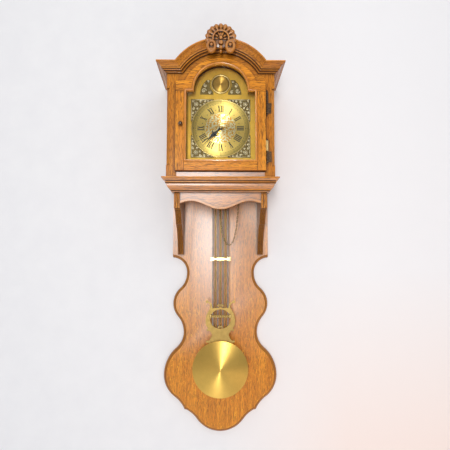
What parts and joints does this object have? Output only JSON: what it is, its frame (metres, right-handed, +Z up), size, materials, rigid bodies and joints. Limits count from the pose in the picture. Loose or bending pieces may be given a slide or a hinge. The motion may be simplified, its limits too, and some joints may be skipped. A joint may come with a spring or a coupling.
{
  "type": "wall-hung hooded longcase-style clock",
  "caption": "Wall-hung weight clock: glazed arched hood on a moulded shelf, waved apron, shaped tail board and a lyre pendulum with a round bob.",
  "frame": {"origin": "centre of the hanging hole in the iron plate at the back of the tail board, on the wall plane", "axes": "+X to the right seen from the front, +Y into the wall, +Z up"},
  "size_m": [0.366, 0.216, 1.197],
  "materials": {
    "oak": "waxed",
    "iron": "matte",
    "bronze": "aged dark",
    "dial_brass": "matted and darkened",
    "ring_brass": "satin, aged",
    "cast_brass": "cast relief",
    "brass": "satin",
    "matte_brass": "matte cast",
    "polished_brass": "polished, spun",
    "steel": "satin",
    "black_steel": "black, satin",
    "glass": "clear"
  },
  "bodies": {
    "case": {"backboard": "oak", "hanger_plate": "iron", "hanger_screws": "iron", "hood_stiles": "oak", "hood_sides": "oak", "hood_rail": "oak", "hood_mask_strips": "oak", "hood_fascia": "oak", "hood_roof": "oak", "cornice_arch": "oak", "cornice_fronts": "oak", "cornice_returns": "oak", "shelf_moulding_front": "oak", "shelf_moulding_returns": "oak", "shelf_board": "oak", "apron_board": "oak", "brackets": "oak", "crest_carving": "oak", "hinge_case_leaves": "bronze", "dial_plate": "dial_brass", "chapter_ring": "ring_brass", "dial_centre_disc": "ring_brass", "dial_boss": "ring_brass", "dial_spandrels": "cast_brass", "dial_feet": "brass", "front_plate": "brass", "back_plate": "brass", "movement_pillars": "brass", "seat_board": "oak", "seat_bearers": "oak", "suspension_cock": "brass", "chain": "brass"},
    "door": {"door_stiles": "oak", "door_bottom_rail": "oak", "door_arch_rail": "oak", "door_sight_moulding": "oak", "door_glass": "glass", "door_knob": "bronze", "hinge_door_leaves": "bronze"},
    "minute_arbor": {"centre_wheel": "brass", "cannon_pinion": "brass", "minute_hand": "black_steel", "hand_nut": "brass"},
    "hour_arbor": {"hour_wheel": "brass", "hour_hand": "black_steel"},
    "minute_wheel_arbor": {"minute_wheel": "brass"},
    "going_arbor": {"going_wheel": "brass"},
    "strike_arbor": {"strike_wheel": "brass"},
    "third_arbor": {"third_wheel": "brass"},
    "escape_arbor": {"escape_wheel": "brass"},
    "anchor_arbor": {"anchor": "steel"},
    "pendulum": {"pendulum_suspension": "steel", "pendulum_rods_steel": "steel", "pendulum_rods_brass": "brass", "pendulum_bridge": "brass", "pendulum_foot_bar": "brass", "pendulum_lyre": "matte_brass", "pendulum_bob": "polished_brass"},
    "regulator": {"rating_nut": "brass"}
  },
  "joints": [
    {"name": "minute_hand_turn", "type": "hinge", "parent": "case", "child": "minute_arbor", "pos_m": [0, -0.14, -0.1394], "axis": [0, 1, 0], "continuous": true},
    {"name": "hour_hand_turn", "type": "hinge", "parent": "case", "child": "hour_arbor", "pos_m": [0, -0.14, -0.1394], "axis": [0, 1, 0], "continuous": true},
    {"name": "minute_wheel_turn", "type": "hinge", "parent": "case", "child": "minute_wheel_arbor", "pos_m": [0, -0.14, -0.1544], "axis": [0, 1, 0], "continuous": true},
    {"name": "going_wheel_turn", "type": "hinge", "parent": "case", "child": "going_arbor", "pos_m": [0.036, -0.14, -0.1509], "axis": [0, 1, 0], "continuous": true},
    {"name": "third_wheel_turn", "type": "hinge", "parent": "case", "child": "third_arbor", "pos_m": [-0.0175, -0.14, -0.11845], "axis": [0, 1, 0], "continuous": true},
    {"name": "escape_wheel_turn", "type": "hinge", "parent": "case", "child": "escape_arbor", "pos_m": [0, -0.14, -0.10291], "axis": [0, 1, 0], "continuous": true},
    {"name": "strike_wheel_turn", "type": "hinge", "parent": "case", "child": "strike_arbor", "pos_m": [-0.036, -0.14, -0.1509], "axis": [0, 1, 0], "continuous": true},
    {"name": "pendulum_swing", "type": "hinge", "parent": "case", "child": "pendulum", "pos_m": [0, -0.075, -0.07891], "axis": [0, 1, 0], "range_deg": [-2.75, 2.75]},
    {"name": "anchor_rock", "type": "hinge", "parent": "case", "child": "anchor_arbor", "pos_m": [0, -0.14, -0.07891], "axis": [0, 1, 0], "range_deg": [-2.75, 2.75]},
    {"name": "door_swing", "type": "hinge", "parent": "case", "child": "door", "pos_m": [0.1321, -0.176, -0.15], "axis": [0, 0, 1], "range_deg": [0, 110]},
    {"name": "rating_nut_turn", "type": "hinge", "parent": "pendulum", "child": "regulator", "pos_m": [0, -0.075, -0.8884], "axis": [0, 0, 1], "continuous": true}
  ],
  "couplings": [
    {"joint": "hour_hand_turn", "follows": "minute_hand_turn", "ratio": 0.083333},
    {"joint": "minute_wheel_turn", "follows": "minute_hand_turn", "ratio": -0.33333},
    {"joint": "going_wheel_turn", "follows": "minute_hand_turn", "ratio": -0.125},
    {"joint": "third_wheel_turn", "follows": "minute_hand_turn", "ratio": -8.75},
    {"joint": "escape_wheel_turn", "follows": "minute_hand_turn", "ratio": 70},
    {"joint": "anchor_rock", "follows": "pendulum_swing", "ratio": 1}
  ]
}
